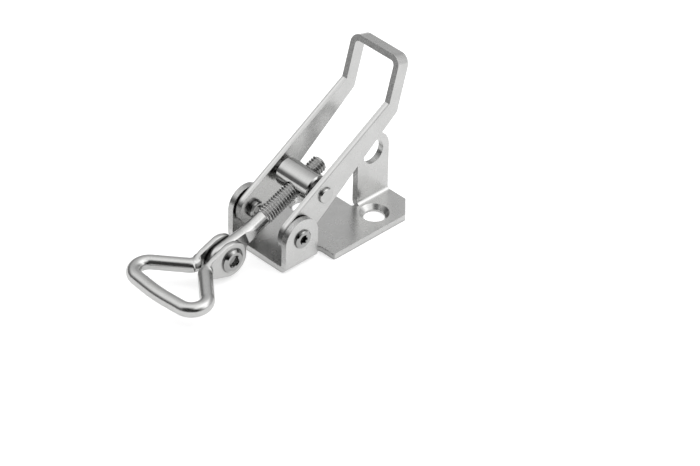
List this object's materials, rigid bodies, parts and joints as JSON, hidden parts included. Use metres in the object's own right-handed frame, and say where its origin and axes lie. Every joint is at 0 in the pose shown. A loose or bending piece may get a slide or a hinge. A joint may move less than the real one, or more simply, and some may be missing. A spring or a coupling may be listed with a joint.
{
  "type": "toggle latch",
  "caption": "Adjustable over-centre toggle latch with a bent strip handle, a wire bail on a threaded rod, a channelled base bracket and a padlock tab.",
  "frame": {"origin": "on the mounting face, in the middle plane, straight under the handle's pivot axis", "axes": "+X from the pivot towards the padlock tab and the handle's grip, with the bail at -X; +Z away from the mounting face; Y along the pivot axis"},
  "size_m": [0.1028, 0.0368, 0.0595],
  "materials": {
    "base_bracket": "tumbled stainless sheet, satin, with sheared edges",
    "handle": "tumbled stainless strip, satin, with sheared edges",
    "barrel": "turned stainless, semi-bright",
    "threaded_rod": "forged and rolled stainless, semi-bright",
    "bail": "drawn stainless wire, semi-bright",
    "bail_rivet": "turned stainless, bright",
    "pivot_rivet_near": "turned stainless, bright",
    "pivot_rivet_far": "turned stainless, bright"
  },
  "bodies": {
    "base": {"base_bracket": "base_bracket", "pivot_rivet_near": "pivot_rivet_near", "pivot_rivet_far": "pivot_rivet_far"},
    "handle": {"handle": "handle"},
    "barrel": {"barrel": "barrel"},
    "rod": {"threaded_rod": "threaded_rod"},
    "bail": {"bail": "bail", "bail_rivet": "bail_rivet"}
  },
  "joints": [
    {"name": "handle_pivot", "type": "hinge", "parent": "base", "child": "handle", "pos_m": [0, 0, 0.0113], "axis": [0, -1, 0], "range_deg": [-41.5, 57]},
    {"name": "barrel_pivot", "type": "hinge", "parent": "handle", "child": "barrel", "pos_m": [0.01263, 0, 0.02113], "axis": [0, -1, 0], "range_deg": [-36, 26.5]},
    {"name": "rod_screw", "type": "slide", "parent": "barrel", "child": "rod", "axis": [-0.9317, 0, -0.3633], "range_m": [-0.006, 0.004]},
    {"name": "bail_pivot", "type": "hinge", "parent": "rod", "child": "bail", "pos_m": [-0.02138, 0, 0.00787], "axis": [0, 1, 0], "range_deg": [-20, 70]}
  ],
  "couplings": [
    {"joint": "barrel_pivot", "follows": "handle_pivot", "ratio": -0.63}
  ]
}
